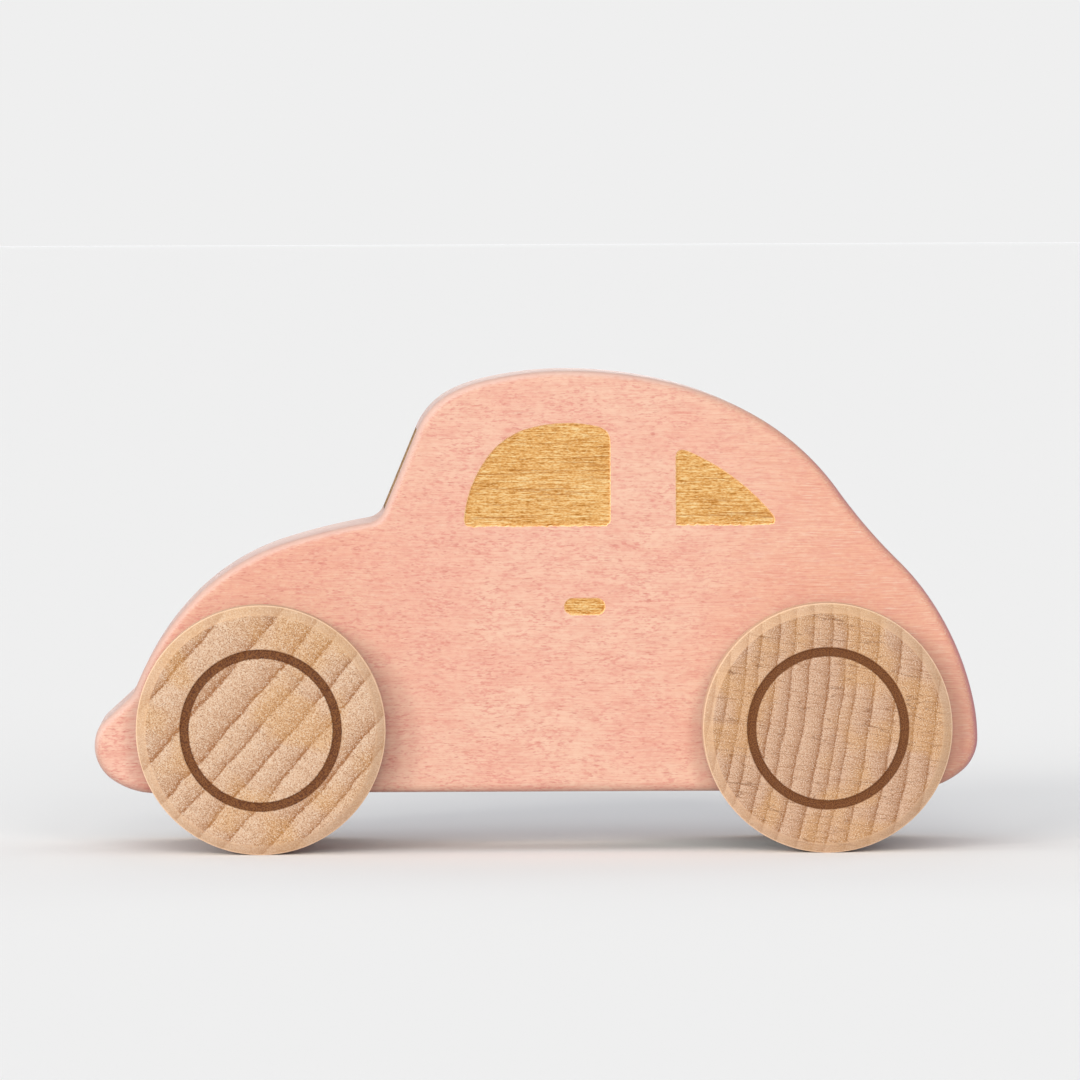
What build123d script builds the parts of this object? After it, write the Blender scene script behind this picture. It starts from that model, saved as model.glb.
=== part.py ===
from build123d import *
import math
import os

# Wooden pull back car. Millimetres, +Z up, the nose points to -X and the car's left side to -Y.
# The origin is on the floor under the middle of the body.

# ---- driving dimensions ----
BODY_THICKNESS = 36.0
BODY_BOTTOM = 8.7
BODY_EDGE_ROUNDING = 1.5

# Side outline, as (radius, degrees turned) for each arc and (length, 0) for each straight stretch.
# Every stretch starts in the direction in which the one before it ends; a hollow turns the other way.
BUMPER_FOOT_X = -56.0
BUMPER = [(11.2, 35), (6.1, 76), (3.8, 26.5), (5, 0), (4, -26)]
HOOD = [(38.9, 21.5), (33.2, 29.5), (91, 8), (3, -58)]
WINDSCREEN = [(12.7, 0)]
ROOF = [(10.9, 41), (20.4, 12.5), (52.6, 14), (65.6, 13.5), (47.4, 15), (38.7, 26)]
TAIL = [(78.5, -10), (35.2, 9), (41.9, 25.5), (26.1, 11), (6.4, 50)]

WHEEL_RADIUS = 18.3
WHEEL_THICKNESS = 9.0
WHEEL_GAP = 0.8
WHEEL_OUTER_CHAMFER = 1.45
WHEEL_INNER_ROUNDING = 0.8
RING_INNER_RADIUS = 10.55
RING_OUTER_RADIUS = 11.85
RING_DEPTH = 0.3
FRONT_AXLE_X = -40.5
REAR_AXLE_X = 42.6

AXLE_RADIUS = 1.25
AXLE_BORE_RADIUS = 1.30
PRESS_BORE_RADIUS = 1.23
WHEEL_BORE_DEPTH = 7.0

BUSH_RADIUS = 2.0
BUSH_LENGTH = 8.0
FLANGE_RADIUS = 3.4
FLANGE_THICKNESS = 0.7
WASHER_THICKNESS = 0.65

ENGRAVING_DEPTH = 0.4
SCREEN_DEPTH = 0.35
SCREEN_WIDTH = 27.0
SCREEN_CORNER_RADIUS = 1.5

# Pull back motor
CASE_HALF_WIDTH = 11.0
CASE_WALL = 1.4
CASE_RIM = 1.2
CASE_CORNER_RADIUS = 2.5
CASE_OUTLINE = [(14.9, 9.0), (48.2, 9.0), (48.2, 22.0), (41.5, 33.4), (26.0, 33.4), (14.9, 27.5)]
POCKET_LENGTH_CLEARANCE = 1.0
POCKET_WIDTH_CLEARANCE = 0.4
POCKET_TOP = 34.0
POCKET_CORNER_RADIUS = 2.0
AXLE_SLOT_WIDTH = 3.2

MODULE = 0.5
PRESSURE_ANGLE = math.radians(20)
ADDENDUM = 0.9 * MODULE
DEDENDUM = 1.25 * MODULE
TOOTH_THINNING = 0.12
AXLE_PINION_TEETH = 12
DRIVE_GEAR_TEETH = 30
DRIVE_PINION_TEETH = 10
SPRING_GEAR_TEETH = 30
WINDING_GEAR_TEETH = 16
WINDING_GAP = 0.15

SPRING_X = 24.6
SPRING_Z = 20.3
SPRING_ARBOR_RADIUS = 1.0
DRIVE_ARBOR_RADIUS = 0.8
WINDING_ARBOR_RADIUS = 0.6
WINDING_SHOULDER_RADIUS = 0.8
ARBOR_HALF_LENGTH = 10.6
RUNNING_CLEARANCE = 0.05
PRESS_OVERLAP = 0.02

# Places of the gears along the axles: low and high y of each toothed band
SPRING_BAND = (0.2, 2.2)
DRIVE_PINION_BAND = (0.0, 3.0)
DRIVE_GEAR_BAND = (3.0, 5.0)
AXLE_PINION_BAND = (-0.3, 5.2)
END_PLAY = 0.2

SPRING_HUB_RADIUS = 2.6
SPRING_STRIP_THICKNESS = 0.25
SPRING_STRIP_BAND = (-8.6, -2.6)
SPRING_STRIP_TURNS = 5.5
SPRING_OUTER_RADIUS = 7.1
HOOK_DEPTH = 0.9
DRUM_INNER_RADIUS = 7.6
DRUM_OUTER_RADIUS = 8.4

CASE_SCREW_PLACES = [(17.8, 12.0), (46.0, 12.4), (40.7, 31.2), (26.3, 31.2)]
CASE_SCREW_RADIUS = 0.8
CASE_SCREW_HEAD_RADIUS = 1.4
CASE_SCREW_HEAD_HEIGHT = 0.6
CASE_SCREW_END = 6.0
CASE_SCREW_BOSS_RADIUS = 1.6

LUG_LENGTH = 7.5
LUG_WIDTH = 8.0
LUG_THICKNESS = 2.0
LUG_SIDE = 5.5
LUG_CLEARANCE = 0.5
MOTOR_SCREW_RADIUS = 1.2
MOTOR_SCREW_HEAD_RADIUS = 2.3
MOTOR_SCREW_HEAD_HEIGHT = 1.3
MOTOR_SCREW_LENGTH = 12.0
MOTOR_SCREW_TIP = 2.0
# Driver recess, as shares of the screw head's radius
CROSS_RECESS_SPAN = 1.3
CROSS_RECESS_WIDTH = 0.25
CROSS_RECESS_DEPTH = 0.4

HALF_BODY = BODY_THICKNESS / 2
WHEEL_INNER_FACE = HALF_BODY + WHEEL_GAP
WHEEL_OUTER_FACE = WHEEL_INNER_FACE + WHEEL_THICKNESS
AXLE_Z = WHEEL_RADIUS


# ---- solids drawn in side view ----
def side_plane(y):
    """Upright plane at y whose own x is +X and whose own y is +Z; its normal points to -Y."""
    return Plane(origin=(0, y, 0), x_dir=(1, 0, 0), z_dir=(0, -1, 0))


def slab(outline, y_low, y_high):
    """Side view outline made solid from y_low to y_high."""
    return extrude(side_plane(y_high) * outline, y_high - y_low)


def rod(x, z, radius, y_low, y_high):
    """Round rod along Y."""
    return slab(Pos(x, z) * Circle(radius), y_low, y_high)


def tube(x, z, radius, bore_radius, y_low, y_high):
    """Round tube along Y."""
    return rod(x, z, radius, y_low, y_high) - rod(x, z, bore_radius, y_low, y_high)


def both_sides(y_inner, y_outer):
    """The two y spans that lie between these distances from the middle, left side first."""
    return [(-y_outer, -y_inner), (y_inner, y_outer)]


# ---- wooden body ----
def body_edges():
    """Side outline of the car, followed from the flat underside round the bumper, over the roof and back."""
    x, z = BUMPER_FOOT_X, BODY_BOTTOM
    heading = 180.0
    edges = []
    for size, turn in BUMPER + HOOD + WINDSCREEN + ROOF + TAIL:
        along = Vector(math.cos(math.radians(heading)), math.sin(math.radians(heading)))
        if turn == 0:
            edge = Line((x, z), (x + size * along.X, z + size * along.Y))
        else:
            edge = JernArc((x, z), along, size, -turn)
        edges.append(edge)
        heading -= turn
        x, z = (edge @ 1).X, (edge @ 1).Y
    turn_left = 180 + heading
    last_radius = (z - BODY_BOTTOM) / (1 - math.cos(math.radians(turn_left)))
    last_arc = JernArc((x, z), edges[-1] % 1, last_radius, -turn_left)
    return edges + [last_arc, Line(last_arc @ 1, (BUMPER_FOOT_X, BODY_BOTTOM))]


def front_window():
    """Quarter-round side window behind the windscreen."""
    foot = (-10.5, 47.9)
    shoulder = (-4.2, 60.9)
    top = (10.95, 61.9)
    edges = [
        Line((10.95, 47.9), foot),
        ThreePointArc(foot, (-8.3, 55.9), shoulder),
        ThreePointArc(shoulder, (2.2, 62.75), top),
        Line(top, (10.95, 47.9)),
    ]
    outline = make_face(edges)
    return fillet(outline.vertices().group_by(Axis.X)[0] + outline.vertices().group_by(Axis.X)[-1], 0.9)


def rear_window():
    """Pointed side window behind the door post."""
    sill_front = (20.75, 48.0)
    sill_back = (35.9, 48.0)
    top = (20.75, 59.35)
    edges = [
        Line(sill_back, sill_front),
        Line(sill_front, top),
        ThreePointArc(top, (29.1, 54.85), sill_back),
    ]
    outline = make_face(edges)
    peak = outline.vertices().sort_by_distance(top)[0]
    tip = outline.vertices().sort_by_distance(sill_back)[0]
    return fillet([peak, tip], 0.85)


def door_handle():
    """Obround recess."""
    return Pos(7.2, 35.95) * SlotOverall(5.85, 2.35)


def windscreen_recess(slope):
    """Shallow panel cut square into the windscreen's straight slope, given as its edge in side view."""
    middle = slope @ 0.5
    along = slope % 0.5
    facing = Plane(origin=(middle.X, 0, middle.Y), x_dir=(0, -1, 0), z_dir=(-along.Y, 0, along.X))
    panel = RectangleRounded(SCREEN_WIDTH, slope.length, SCREEN_CORNER_RADIUS)
    return extrude(facing * panel, SCREEN_DEPTH, both=True)


def case_outline():
    """Side outline of the motor case."""
    outline = make_face(Polyline(*CASE_OUTLINE, close=True))
    return fillet(outline.vertices(), CASE_CORNER_RADIUS)


def lug_places():
    """Inner and outer x of each mounting lug, and the y of its screw."""
    xs = [point[0] for point in CASE_OUTLINE]
    return [(min(xs), min(xs) - LUG_LENGTH, -LUG_SIDE), (max(xs), max(xs) + LUG_LENGTH, LUG_SIDE)]


def lug_screw_x(x_inner, x_outer):
    """The screw stands in the middle of the lug's rounded end."""
    outward = math.copysign(1, x_outer - x_inner)
    return x_outer - outward * LUG_WIDTH / 2


def motor_pocket():
    """Space milled from below for the motor, its two lugs and the slots that the axle drops into."""
    case_bottom = min(point[1] for point in CASE_OUTLINE)
    lug_top = case_bottom + LUG_THICKNESS
    x_low = min(point[0] for point in CASE_OUTLINE) - POCKET_LENGTH_CLEARANCE
    x_high = max(point[0] for point in CASE_OUTLINE) + POCKET_LENGTH_CLEARANCE
    width = 2 * (CASE_HALF_WIDTH + POCKET_WIDTH_CLEARANCE)
    mouth = Pos((x_low + x_high) / 2, 0) * RectangleRounded(x_high - x_low, width, POCKET_CORNER_RADIUS)
    pocket = extrude(mouth, POCKET_TOP)
    for x_inner, x_outer, y in lug_places():
        x_screw = lug_screw_x(x_inner, x_outer)
        length = 2 * (abs(x_inner - x_screw) + LUG_CLEARANCE)
        seat = Pos(x_screw, y) * SlotOverall(length + LUG_WIDTH, LUG_WIDTH + 2 * LUG_CLEARANCE)
        window = Pos((x_inner + x_outer) / 2, y) * Rectangle(LUG_LENGTH + 2 * LUG_CLEARANCE, 2 * LUG_WIDTH)
        pocket += extrude(seat & window, lug_top)
        pocket += Pos(x_screw, y, 0) * extrude(Circle(MOTOR_SCREW_RADIUS - PRESS_OVERLAP),
                                               case_bottom + MOTOR_SCREW_LENGTH)
    slot_outline = Pos(REAR_AXLE_X, AXLE_Z) * Circle(AXLE_SLOT_WIDTH / 2)
    slot_outline += Pos(REAR_AXLE_X, AXLE_Z / 2) * Rectangle(AXLE_SLOT_WIDTH, AXLE_Z)
    return pocket + slab(slot_outline, -HALF_BODY, HALF_BODY)


def make_car_body():
    """Solid wooden block with rounded side edges, engravings, the front axle bore and the motor pocket."""
    edges = body_edges()
    block = slab(make_face(edges), -HALF_BODY, HALF_BODY)
    side_faces = block.faces().group_by(Axis.Y)
    block = fillet(side_faces[0].edges() + side_faces[-1].edges(), BODY_EDGE_ROUNDING)
    for outline in (front_window(), rear_window(), door_handle()):
        for y_low, y_high in both_sides(HALF_BODY - ENGRAVING_DEPTH, HALF_BODY):
            block -= slab(outline, y_low, y_high)
    block -= windscreen_recess(edges[len(BUMPER + HOOD)])
    block -= rod(FRONT_AXLE_X, AXLE_Z, BUSH_RADIUS - PRESS_OVERLAP, -HALF_BODY, HALF_BODY)
    return block - motor_pocket()


# ---- wheels and axles ----
def make_wheel(axle_x, side):
    """Turned wheel with a bevelled rim, a burned ring on its outer face and a blind bore behind."""
    inner = side * WHEEL_INNER_FACE
    outer = side * WHEEL_OUTER_FACE
    disc = rod(axle_x, AXLE_Z, WHEEL_RADIUS, min(inner, outer), max(inner, outer))
    rims = disc.edges().filter_by(GeomType.CIRCLE).sort_by(Axis.Y)
    inner_rim, outer_rim = (rims[-1], rims[0]) if side < 0 else (rims[0], rims[-1])
    disc = chamfer(outer_rim, WHEEL_OUTER_CHAMFER)
    inner_rims = disc.edges().filter_by(GeomType.CIRCLE).sort_by_distance(inner_rim.center())
    disc = fillet(inner_rims[0], WHEEL_INNER_ROUNDING)
    ring_floor = outer - side * RING_DEPTH
    disc -= tube(axle_x, AXLE_Z, RING_OUTER_RADIUS, RING_INNER_RADIUS, min(ring_floor, outer),
                 max(ring_floor, outer))
    bore_end = inner + side * WHEEL_BORE_DEPTH
    return disc - rod(axle_x, AXLE_Z, PRESS_BORE_RADIUS, min(inner, bore_end), max(inner, bore_end))


def make_axle(axle_x):
    """Steel rod that ends inside both wheels, with a small chamfer at each end."""
    half_length = WHEEL_INNER_FACE + WHEEL_BORE_DEPTH
    axle = rod(axle_x, AXLE_Z, AXLE_RADIUS, -half_length, half_length)
    return chamfer(axle.edges().filter_by(GeomType.CIRCLE), 0.25)


def make_bush(side):
    """Nylon bush pressed into the front axle bore, its flange outside the body."""
    inner = side * (HALF_BODY - BUSH_LENGTH)
    face = side * HALF_BODY
    outer = side * (HALF_BODY + FLANGE_THICKNESS)
    sleeve = rod(FRONT_AXLE_X, AXLE_Z, BUSH_RADIUS, min(inner, outer), max(inner, outer))
    flange = rod(FRONT_AXLE_X, AXLE_Z, FLANGE_RADIUS, min(face, outer), max(face, outer))
    return sleeve + flange - rod(FRONT_AXLE_X, AXLE_Z, AXLE_BORE_RADIUS, min(inner, outer), max(inner, outer))


def make_washer(side):
    """Nylon washer that lies against a rear wheel's inner face."""
    inner = side * (WHEEL_INNER_FACE - WASHER_THICKNESS)
    outer = side * WHEEL_INNER_FACE
    return tube(REAR_AXLE_X, AXLE_Z, FLANGE_RADIUS, AXLE_BORE_RADIUS, min(inner, outer), max(inner, outer))


# ---- gears ----
def pitch_radius(teeth):
    return teeth * MODULE / 2


def involute(angle):
    return math.tan(angle) - angle


def gear_outline(teeth, phase):
    """Involute gear outline; one tooth is centred at the angle phase, measured from +X towards +Z."""
    pitch = pitch_radius(teeth)
    base = pitch * math.cos(PRESSURE_ANGLE)
    tip = pitch + ADDENDUM
    root = pitch - DEDENDUM
    half_tooth = (math.pi * MODULE / 2 - TOOTH_THINNING) / (2 * pitch)
    flank_steps = 5
    start = max(base, root)
    flank = []
    for step in range(flank_steps + 1):
        radius = start + (tip - start) * step / flank_steps
        spread = half_tooth + involute(PRESSURE_ANGLE) - involute(math.acos(min(1, base / radius)))
        flank.append((radius, spread))
    if root < base:
        flank.insert(0, (root, flank[0][1]))
    points = []
    for tooth in range(teeth):
        centre = phase + tooth * 2 * math.pi / teeth
        rising = [(radius, centre - spread) for radius, spread in flank]
        falling = [(radius, centre + spread) for radius, spread in reversed(flank)]
        points += [(radius * math.cos(angle), radius * math.sin(angle)) for radius, angle in rising + falling]
    return make_face(Polyline(*points, close=True))


def meshing_phase(phase, teeth, direction, mate_teeth):
    """Phase of the mate, which lies in the given direction, so that a tooth of one faces a gap of the other."""
    tooth_angle = 2 * math.pi / teeth
    mate_tooth_angle = 2 * math.pi / mate_teeth
    along = (direction - phase) / tooth_angle
    return direction + math.pi - mate_tooth_angle * (0.5 - along)


def third_corner(first, second, to_first, to_second, side):
    """Point at the given distances from two others, on the chosen side of the line from first to second."""
    gap = math.dist(first, second)
    along = (to_first ** 2 - to_second ** 2 + gap ** 2) / (2 * gap)
    across = side * math.sqrt(to_first ** 2 - along ** 2)
    ux, uz = (second[0] - first[0]) / gap, (second[1] - first[1]) / gap
    return (first[0] + along * ux - across * uz, first[1] + along * uz + across * ux)


def direction_of(start, end):
    return math.atan2(end[1] - start[1], end[0] - start[0])


AXLE_CENTRE = (REAR_AXLE_X, AXLE_Z)
SPRING_CENTRE = (SPRING_X, SPRING_Z)
DRIVE_CENTRE = third_corner(
    AXLE_CENTRE, SPRING_CENTRE,
    pitch_radius(AXLE_PINION_TEETH) + pitch_radius(DRIVE_GEAR_TEETH),
    pitch_radius(DRIVE_PINION_TEETH) + pitch_radius(SPRING_GEAR_TEETH), -1)
WINDING_CENTRE = third_corner(
    AXLE_CENTRE, SPRING_CENTRE,
    pitch_radius(AXLE_PINION_TEETH) + pitch_radius(WINDING_GEAR_TEETH),
    pitch_radius(SPRING_GEAR_TEETH) + pitch_radius(WINDING_GEAR_TEETH) + 2 * ADDENDUM + WINDING_GAP, 1)

AXLE_PHASE = 0.0
DRIVE_PHASE = meshing_phase(AXLE_PHASE, AXLE_PINION_TEETH, direction_of(AXLE_CENTRE, DRIVE_CENTRE),
                            DRIVE_GEAR_TEETH)
WINDING_PHASE = meshing_phase(AXLE_PHASE, AXLE_PINION_TEETH, direction_of(AXLE_CENTRE, WINDING_CENTRE),
                              WINDING_GEAR_TEETH)
SPRING_PHASE = meshing_phase(DRIVE_PHASE, DRIVE_PINION_TEETH, direction_of(DRIVE_CENTRE, SPRING_CENTRE),
                             SPRING_GEAR_TEETH)


def toothed_band(centre, teeth, phase, band):
    return slab(Pos(*centre) * gear_outline(teeth, phase), *band)


def make_axle_pinion():
    """Long pinion pressed onto the rear axle."""
    pinion = toothed_band(AXLE_CENTRE, AXLE_PINION_TEETH, AXLE_PHASE, AXLE_PINION_BAND)
    return pinion - rod(*AXLE_CENTRE, PRESS_BORE_RADIUS, *AXLE_PINION_BAND)


def make_drive_gear():
    """Compound gear: its small end meets the spring gear and its large end the axle pinion."""
    gear = toothed_band(DRIVE_CENTRE, DRIVE_PINION_TEETH, DRIVE_PHASE, DRIVE_PINION_BAND)
    gear += toothed_band(DRIVE_CENTRE, DRIVE_GEAR_TEETH, DRIVE_PHASE, DRIVE_GEAR_BAND)
    bore = DRIVE_ARBOR_RADIUS + RUNNING_CLEARANCE
    return gear - rod(*DRIVE_CENTRE, bore, DRIVE_PINION_BAND[0], DRIVE_GEAR_BAND[1])


def make_winding_gear():
    """Idler that always meets the axle pinion."""
    gear = toothed_band(WINDING_CENTRE, WINDING_GEAR_TEETH, WINDING_PHASE, SPRING_BAND)
    return gear - rod(*WINDING_CENTRE, WINDING_ARBOR_RADIUS + RUNNING_CLEARANCE, *SPRING_BAND)


def make_spring_gear():
    """Gear with a long hub; a slot in the hub takes the mainspring's hooked inner end."""
    hub_start = -CASE_HALF_WIDTH + CASE_WALL + END_PLAY
    gear = toothed_band(SPRING_CENTRE, SPRING_GEAR_TEETH, SPRING_PHASE, SPRING_BAND)
    gear += rod(*SPRING_CENTRE, SPRING_HUB_RADIUS, hub_start, SPRING_BAND[0])
    slot_centre = SPRING_X + SPRING_HUB_RADIUS - HOOK_DEPTH / 2
    slot = Pos(slot_centre, SPRING_Z) * Rectangle(HOOK_DEPTH, SPRING_STRIP_THICKNESS)
    gear -= slab(slot, hub_start, SPRING_STRIP_BAND[1])
    return gear - rod(*SPRING_CENTRE, SPRING_ARBOR_RADIUS + RUNNING_CLEARANCE, hub_start, SPRING_BAND[1])


def make_mainspring():
    """Flat steel strip wound in a spiral, its inner end bent into the hub's slot."""
    half_strip = SPRING_STRIP_THICKNESS / 2
    start_radius = SPRING_HUB_RADIUS + SPRING_STRIP_THICKNESS
    points_per_turn = 16
    steps = round(SPRING_STRIP_TURNS * points_per_turn)

    def spiral(offset):
        points = []
        for step in range(steps + 1):
            angle = 2 * math.pi * step / points_per_turn
            radius = start_radius + (SPRING_OUTER_RADIUS - start_radius) * step / steps + offset
            points.append((radius * math.cos(angle), radius * math.sin(angle)))
        return points

    inner_side = spiral(-half_strip)
    outer_side = spiral(half_strip)
    edges = [
        Spline(*inner_side),
        Line(inner_side[-1], outer_side[-1]),
        Spline(*reversed(outer_side)),
        Line(outer_side[0], inner_side[0]),
    ]
    hook_end = SPRING_HUB_RADIUS - HOOK_DEPTH
    hook_length = start_radius + half_strip - hook_end
    hook = Pos(hook_end + hook_length / 2, 0) * Rectangle(hook_length, SPRING_STRIP_THICKNESS)
    strip = make_face(edges) + hook
    return slab(Pos(*SPRING_CENTRE) * strip, *SPRING_STRIP_BAND)


# ---- motor case and pins ----
def make_case_half(side):
    """Half shell with bearing bosses, screw bosses and one lug; the left one also has the spring drum."""
    outer_face = side * CASE_HALF_WIDTH
    floor = outer_face - side * CASE_WALL

    def span(a, b):
        return min(a, b), max(a, b)

    outline = case_outline()
    shell = slab(outline, *span(0, outer_face)) - slab(offset(outline, -CASE_RIM), *span(0, floor))
    if side < 0:
        boss_ends = {
            AXLE_CENTRE: AXLE_PINION_BAND[0] - END_PLAY,
            DRIVE_CENTRE: DRIVE_PINION_BAND[0] - END_PLAY,
            WINDING_CENTRE: SPRING_BAND[0] - END_PLAY,
        }
        drum_end = SPRING_BAND[0] - 2 * END_PLAY
        shell += tube(*SPRING_CENTRE, DRUM_OUTER_RADIUS, DRUM_INNER_RADIUS, floor, drum_end)
    else:
        boss_ends = {
            AXLE_CENTRE: AXLE_PINION_BAND[1] + END_PLAY,
            DRIVE_CENTRE: DRIVE_GEAR_BAND[1] + END_PLAY,
            WINDING_CENTRE: DRIVE_GEAR_BAND[1] + 2 * END_PLAY,
            SPRING_CENTRE: SPRING_BAND[1] + END_PLAY,
        }
    boss_radii = {AXLE_CENTRE: 3.0, DRIVE_CENTRE: 1.8, WINDING_CENTRE: 1.6, SPRING_CENTRE: 1.7}
    for centre, end in boss_ends.items():
        shell += rod(*centre, boss_radii[centre], *span(floor, end))
    for place in CASE_SCREW_PLACES:
        shell += rod(*place, CASE_SCREW_BOSS_RADIUS, *span(floor, 0))
    shell += make_lug(side)
    shell -= rod(*AXLE_CENTRE, AXLE_BORE_RADIUS, *span(0, outer_face))
    winding_bore = WINDING_ARBOR_RADIUS if side < 0 else WINDING_SHOULDER_RADIUS
    for centre, radius in ((DRIVE_CENTRE, DRIVE_ARBOR_RADIUS), (WINDING_CENTRE, winding_bore),
                           (SPRING_CENTRE, SPRING_ARBOR_RADIUS)):
        shell -= rod(*centre, radius - PRESS_OVERLAP, *span(0, side * ARBOR_HALF_LENGTH))
    return shell - case_screw_holes(side) - make_motor_screw_blanks(RUNNING_CLEARANCE)


def case_screw_holes(side):
    """Clearance holes with countersinks on the left, thread holes on the right."""
    holes = Part()
    for place in CASE_SCREW_PLACES:
        if side < 0:
            holes += make_case_screw(place, RUNNING_CLEARANCE)
        else:
            holes += rod(*place, CASE_SCREW_RADIUS - PRESS_OVERLAP, 0, CASE_SCREW_END)
    return holes


def make_lug(side):
    """Mounting lug at the case's foot, with a rounded end."""
    x_inner, x_outer, y = lug_places()[0 if side < 0 else 1]
    x_screw = lug_screw_x(x_inner, x_outer)
    outline = Pos((x_inner + x_screw) / 2, y) * Rectangle(abs(x_inner - x_screw), LUG_WIDTH)
    outline += Pos(x_screw, y) * Circle(LUG_WIDTH / 2)
    case_bottom = min(point[1] for point in CASE_OUTLINE)
    root = Pos(x_inner - math.copysign(CASE_RIM / 2, x_outer - x_inner), y) * Rectangle(CASE_RIM, LUG_WIDTH)
    lug = extrude(Pos(0, 0, case_bottom) * outline, LUG_THICKNESS)
    foot = extrude(Pos(0, 0, case_bottom + CASE_CORNER_RADIUS) * root, -CASE_CORNER_RADIUS)
    return lug + foot


def make_case_screw(place, clearance=0.0):
    """Countersunk screw along Y, from the left face inwards; clearance swells it into its own hole."""
    head_start = -CASE_HALF_WIDTH
    shank_radius = CASE_SCREW_RADIUS + clearance
    head_radius = CASE_SCREW_HEAD_RADIUS + clearance
    profile = make_face(Polyline(
        (0, head_start), (head_radius, head_start), (shank_radius, head_start + CASE_SCREW_HEAD_HEIGHT),
        (shank_radius, CASE_SCREW_END), (0, CASE_SCREW_END), close=True))
    screw = revolve(profile, Axis.Y)
    return Pos(place[0], 0, place[1]) * screw


def cross_recess(face, head_radius):
    """Cross-shaped driver recess, cut square into the plane of a screw's face, in proportion to its head."""
    span = CROSS_RECESS_SPAN * head_radius
    width = CROSS_RECESS_WIDTH * head_radius
    cross = face * Rectangle(span, width) + face * Rectangle(width, span)
    return extrude(cross, -CROSS_RECESS_DEPTH * head_radius)


def make_case_screws():
    """The case's four screws, each with its driver recess."""
    screws = []
    for x, z in CASE_SCREW_PLACES:
        face = Plane(origin=(x, -CASE_HALF_WIDTH, z), x_dir=(1, 0, 0), z_dir=(0, -1, 0))
        screws.append(make_case_screw((x, z)) - cross_recess(face, CASE_SCREW_HEAD_RADIUS))
    return Compound(children=screws)


def make_motor_screw_blanks(clearance=0.0):
    """Two countersunk wood screws that point up through the lugs; clearance swells them into holes."""
    head_face = min(point[1] for point in CASE_OUTLINE)
    shank_radius = MOTOR_SCREW_RADIUS + clearance
    head_radius = MOTOR_SCREW_HEAD_RADIUS + clearance
    tip = head_face + MOTOR_SCREW_LENGTH
    profile = make_face(Plane.XZ * Polyline(
        (0, head_face), (head_radius, head_face), (shank_radius, head_face + MOTOR_SCREW_HEAD_HEIGHT),
        (shank_radius, tip - MOTOR_SCREW_TIP), (0, tip), close=True))
    screw = revolve(profile, Axis.Z)
    places = [(lug_screw_x(x_inner, x_outer), y) for x_inner, x_outer, y in lug_places()]
    return [Pos(x, y, 0) * screw for x, y in places]


def make_motor_screws():
    """The two wood screws with their driver recesses, which face down."""
    screws = []
    for screw in make_motor_screw_blanks():
        box = screw.bounding_box()
        face = Plane(origin=(box.center().X, box.center().Y, box.min.Z), x_dir=(1, 0, 0), z_dir=(0, 0, -1))
        screws.append(screw - cross_recess(face, MOTOR_SCREW_HEAD_RADIUS))
    return Compound(children=screws)


def make_arbor(centre, radius):
    return rod(*centre, radius, -ARBOR_HALF_LENGTH, ARBOR_HALF_LENGTH)


def make_winding_arbor():
    """Pin with a shoulder that keeps the idler in its place."""
    shoulder = SPRING_BAND[1] + END_PLAY
    thin = rod(*WINDING_CENTRE, WINDING_ARBOR_RADIUS, -ARBOR_HALF_LENGTH, shoulder)
    return thin + rod(*WINDING_CENTRE, WINDING_SHOULDER_RADIUS, shoulder, ARBOR_HALF_LENGTH)


nodes = {
    "car_body": make_car_body(),
    "front_left_wheel": make_wheel(FRONT_AXLE_X, -1),
    "front_right_wheel": make_wheel(FRONT_AXLE_X, 1),
    "rear_left_wheel": make_wheel(REAR_AXLE_X, -1),
    "rear_right_wheel": make_wheel(REAR_AXLE_X, 1),
    "front_axle": make_axle(FRONT_AXLE_X),
    "rear_axle": make_axle(REAR_AXLE_X),
    "front_bush_left": make_bush(-1),
    "front_bush_right": make_bush(1),
    "rear_washer_left": make_washer(-1),
    "rear_washer_right": make_washer(1),
    "motor_case_left": make_case_half(-1),
    "motor_case_right": make_case_half(1),
    "case_screws": make_case_screws(),
    "motor_screws": make_motor_screws(),
    "axle_pinion": make_axle_pinion(),
    "drive_gear": make_drive_gear(),
    "winding_gear": make_winding_gear(),
    "spring_gear": make_spring_gear(),
    "mainspring": make_mainspring(),
    "drive_arbor": make_arbor(DRIVE_CENTRE, DRIVE_ARBOR_RADIUS),
    "winding_arbor": make_winding_arbor(),
    "spring_arbor": make_arbor(SPRING_CENTRE, SPRING_ARBOR_RADIUS),
}

os.makedirs("parts", exist_ok=True)
for name, shape in nodes.items():
    export_step(shape, f"parts/{name}.step")
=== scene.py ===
import math

import bmesh
import bpy
from mathutils import Matrix, Vector, noise


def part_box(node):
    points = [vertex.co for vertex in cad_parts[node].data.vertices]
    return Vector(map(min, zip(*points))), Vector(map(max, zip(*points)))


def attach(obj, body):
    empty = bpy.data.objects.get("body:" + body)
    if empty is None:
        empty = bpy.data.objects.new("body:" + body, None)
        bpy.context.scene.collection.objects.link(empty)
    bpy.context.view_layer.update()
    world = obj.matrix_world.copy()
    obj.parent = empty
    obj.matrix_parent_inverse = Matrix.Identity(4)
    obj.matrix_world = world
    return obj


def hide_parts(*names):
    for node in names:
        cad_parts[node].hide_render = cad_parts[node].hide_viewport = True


# Wooden pull back car. The nose points to -X, the car's left side and the camera are on -Y, +Z is up.
# Lengths in this file are millimetres until a mesh is made; the scene itself is in metres.
MM = 0.001

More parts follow.
